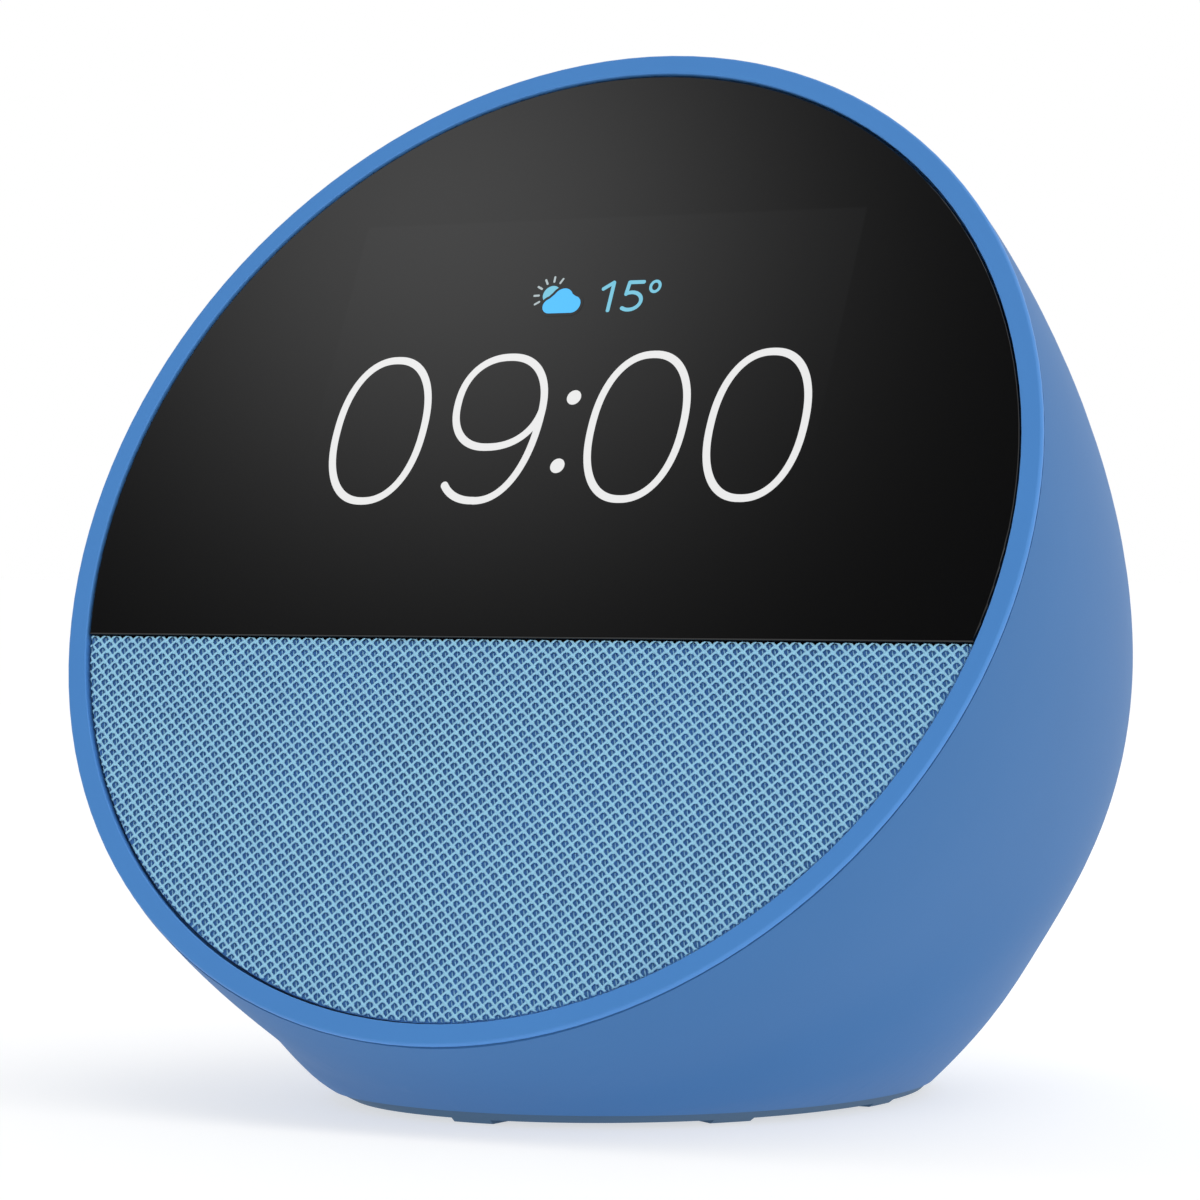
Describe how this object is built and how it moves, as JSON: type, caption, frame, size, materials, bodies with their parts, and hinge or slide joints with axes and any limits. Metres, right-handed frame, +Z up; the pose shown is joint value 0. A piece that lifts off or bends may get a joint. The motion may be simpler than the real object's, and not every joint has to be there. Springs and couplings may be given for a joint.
{
  "type": "smart display",
  "caption": "Small desk display with a round tilted face, glass over a mesh speaker grille, in a domed housing on an oval base.",
  "frame": {"origin": "on the floor under the middle of the object's box", "axes": "+Z up, the face looks towards -Y and leans back, +X to the right of someone facing the face"},
  "size_m": [0.113, 0.1029, 0.1109],
  "materials": {
    "ring_blue": "fine satin moulded plastic",
    "housing_blue": "fine matte moulded plastic",
    "button_blue": "satin moulded plastic",
    "glass_black": "black-backed gloss glass",
    "mesh_blue": "warp-knit mesh of pale blue yarn",
    "foot_blue_grey": "soft satin rubber",
    "grille_steel": "dark blue painted perforated steel",
    "adhesive": "film adhesive",
    "panel_dark": "display laminate",
    "bright_steel": "stamped bright steel",
    "black_foam": "closed-cell foam",
    "flex_amber": "amber film",
    "dark_plastic": "black moulded plastic",
    "screw_steel": "zinc-plated steel",
    "black_rubber": "soft moulded rubber",
    "spider_cloth": "resin-dipped cloth",
    "cone_paper": "pressed paper fibre",
    "copper": "enamelled copper wire",
    "magnet": "nickel-plated magnet",
    "board_green": "solder mask on glass-fibre board",
    "lead_black": "lead insulation",
    "chip_black": "moulded chip package",
    "connector_cream": "connector nylon",
    "pad_grey": "soft thermal pad",
    "aluminium_sheet": "die-cast aluminium"
  },
  "bodies": {
    "housing": {"antennas": "board_green", "base_plate": "dark_plastic", "base_screws": "screw_steel", "bezel_ring": "ring_blue", "board_chips": "chip_black", "board_connectors": "connector_cream", "board_screws": "screw_steel", "button_board": "board_green", "button_bracket": "dark_plastic", "button_flex": "flex_amber", "button_screws": "screw_steel", "chassis_screws": "screw_steel", "cover_glass": "glass_black", "dc_board": "board_green", "dc_jack": "dark_plastic", "dc_leads": "lead_black", "dc_pin": "bright_steel", "dc_screws": "screw_steel", "dc_socket_collar": "dark_plastic", "display_flex": "flex_amber", "display_foam": "black_foam", "display_panel": "panel_dark", "display_tray": "bright_steel", "foot_ring": "foot_blue_grey", "front_chassis": "dark_plastic", "glass_adhesive": "adhesive", "grille_fabric": "mesh_blue", "grille_plate": "grille_steel", "heat_spreader": "aluminium_sheet", "key_mat": "black_rubber", "main_board": "board_green", "mic_gaskets": "black_rubber", "microphones": "bright_steel", "optical_bond": "adhesive", "rear_housing": "housing_blue", "shield_can": "bright_steel", "speaker_basket": "dark_plastic", "speaker_enclosure": "dark_plastic", "speaker_gasket": "black_foam", "speaker_leads": "lead_black", "speaker_magnet": "magnet", "speaker_pole_plate": "bright_steel", "speaker_spider": "spider_cloth", "speaker_surround": "black_rubber", "speaker_terminals": "board_green", "speaker_yoke": "bright_steel", "tact_switches": "bright_steel", "thermal_pad": "pad_grey"},
    "volume_down": {"volume_down_button": "button_blue"},
    "mic_mute": {"mic_mute_button": "button_blue"},
    "volume_up": {"volume_up_button": "button_blue"},
    "diaphragm": {"speaker_cone": "cone_paper", "speaker_dust_cap": "cone_paper", "voice_coil": "copper"}
  },
  "joints": [
    {"name": "volume_down_press", "type": "slide", "parent": "housing", "child": "volume_down", "axis": [0, -0.5837, -0.8119], "range_m": [0, 0.0005], "stiffness_N_per_m": 900},
    {"name": "mic_mute_press", "type": "slide", "parent": "housing", "child": "mic_mute", "axis": [0, -0.5837, -0.8119], "range_m": [0, 0.0005], "stiffness_N_per_m": 900},
    {"name": "volume_up_press", "type": "slide", "parent": "housing", "child": "volume_up", "axis": [0, -0.5837, -0.8119], "range_m": [0, 0.0005], "stiffness_N_per_m": 900},
    {"name": "diaphragm_stroke", "type": "slide", "parent": "housing", "child": "diaphragm", "axis": [0, -0.9029, 0.4299], "range_m": [-0.0012, 0.0012], "stiffness_N_per_m": 2200, "deforming": ["speaker_surround", "speaker_spider"]}
  ]
}
